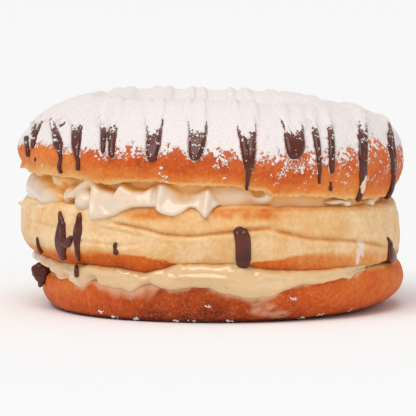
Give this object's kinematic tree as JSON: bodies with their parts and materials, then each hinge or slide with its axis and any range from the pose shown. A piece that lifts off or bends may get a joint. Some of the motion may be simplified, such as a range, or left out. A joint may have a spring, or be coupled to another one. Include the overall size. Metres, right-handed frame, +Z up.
{
  "type": "paris-brest pastry",
  "caption": "Ring of baked dough cut into slices, filled with custard and piped whipped cream, under a zigzag of chocolate and icing sugar.",
  "frame": {"origin": "middle of the ring, on the surface it rests on", "axes": "+Z up through the ring's hole, -Y towards the front of the ring, +X to the right seen from the front"},
  "size_m": [0.1092, 0.11, 0.0604],
  "materials": {
    "browned_crust": "matte",
    "custard": "satin",
    "pale_crumb": "matte",
    "whipped_cream": "satin",
    "sugared_crust": "matte",
    "chocolate": "satin"
  },
  "bodies": {
    "root": {"bottom_layer": "browned_crust", "custard": "custard", "middle_layer": "pale_crumb", "whipped_cream": "whipped_cream", "top_layer": "sugared_crust"}
  },
  "joints": []
}
